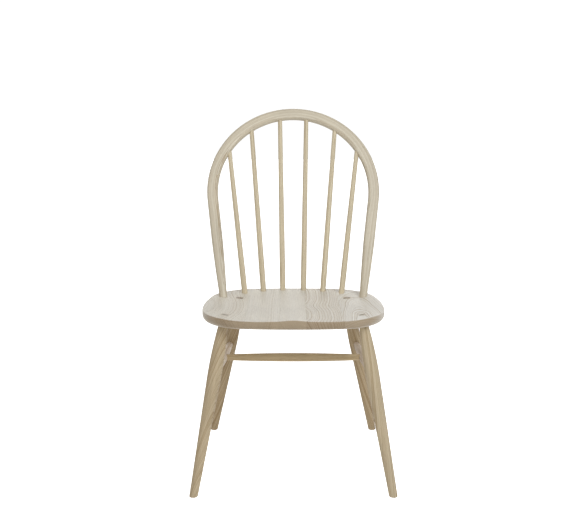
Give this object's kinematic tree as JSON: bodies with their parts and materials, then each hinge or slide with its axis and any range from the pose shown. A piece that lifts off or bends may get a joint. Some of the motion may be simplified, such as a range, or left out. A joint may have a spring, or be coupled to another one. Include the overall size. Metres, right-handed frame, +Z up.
{
  "type": "windsor dining chair",
  "caption": "Hoop-back windsor dining chair in bare ash with a saddled seat, splayed turned legs, stretchers and slender spindles.",
  "frame": {"origin": "on the floor under the middle of the chair's width and depth", "axes": "+Z up, the chair's front faces -Y, +X to the right when the chair is seen from its front"},
  "size_m": [0.5096, 0.5286, 0.933],
  "materials": {
    "seat_ash": "bare limed ash, matt, grain front to back",
    "back_ash": "bare ash, matt, grain along the piece",
    "leg_ash": "bare ash, matt, grain along the piece",
    "wedge_wood": "darker wedge wood, sanded flush"
  },
  "bodies": {
    "root": {"cross_stretcher": "leg_ash", "hoop": "back_ash", "hoop_wedge_left": "wedge_wood", "hoop_wedge_right": "wedge_wood", "leg_front_left": "leg_ash", "leg_front_right": "leg_ash", "leg_rear_left": "leg_ash", "leg_rear_right": "leg_ash", "leg_wedge_front_left": "wedge_wood", "leg_wedge_front_right": "wedge_wood", "leg_wedge_rear_left": "wedge_wood", "leg_wedge_rear_right": "wedge_wood", "seat_board_1": "seat_ash", "seat_board_2": "seat_ash", "seat_board_3": "seat_ash", "seat_board_4": "seat_ash", "seat_board_5": "seat_ash", "side_stretcher_left": "leg_ash", "side_stretcher_right": "leg_ash", "spindle_1": "back_ash", "spindle_2": "back_ash", "spindle_3": "back_ash", "spindle_4": "back_ash", "spindle_5": "back_ash", "spindle_6": "back_ash"}
  },
  "joints": []
}
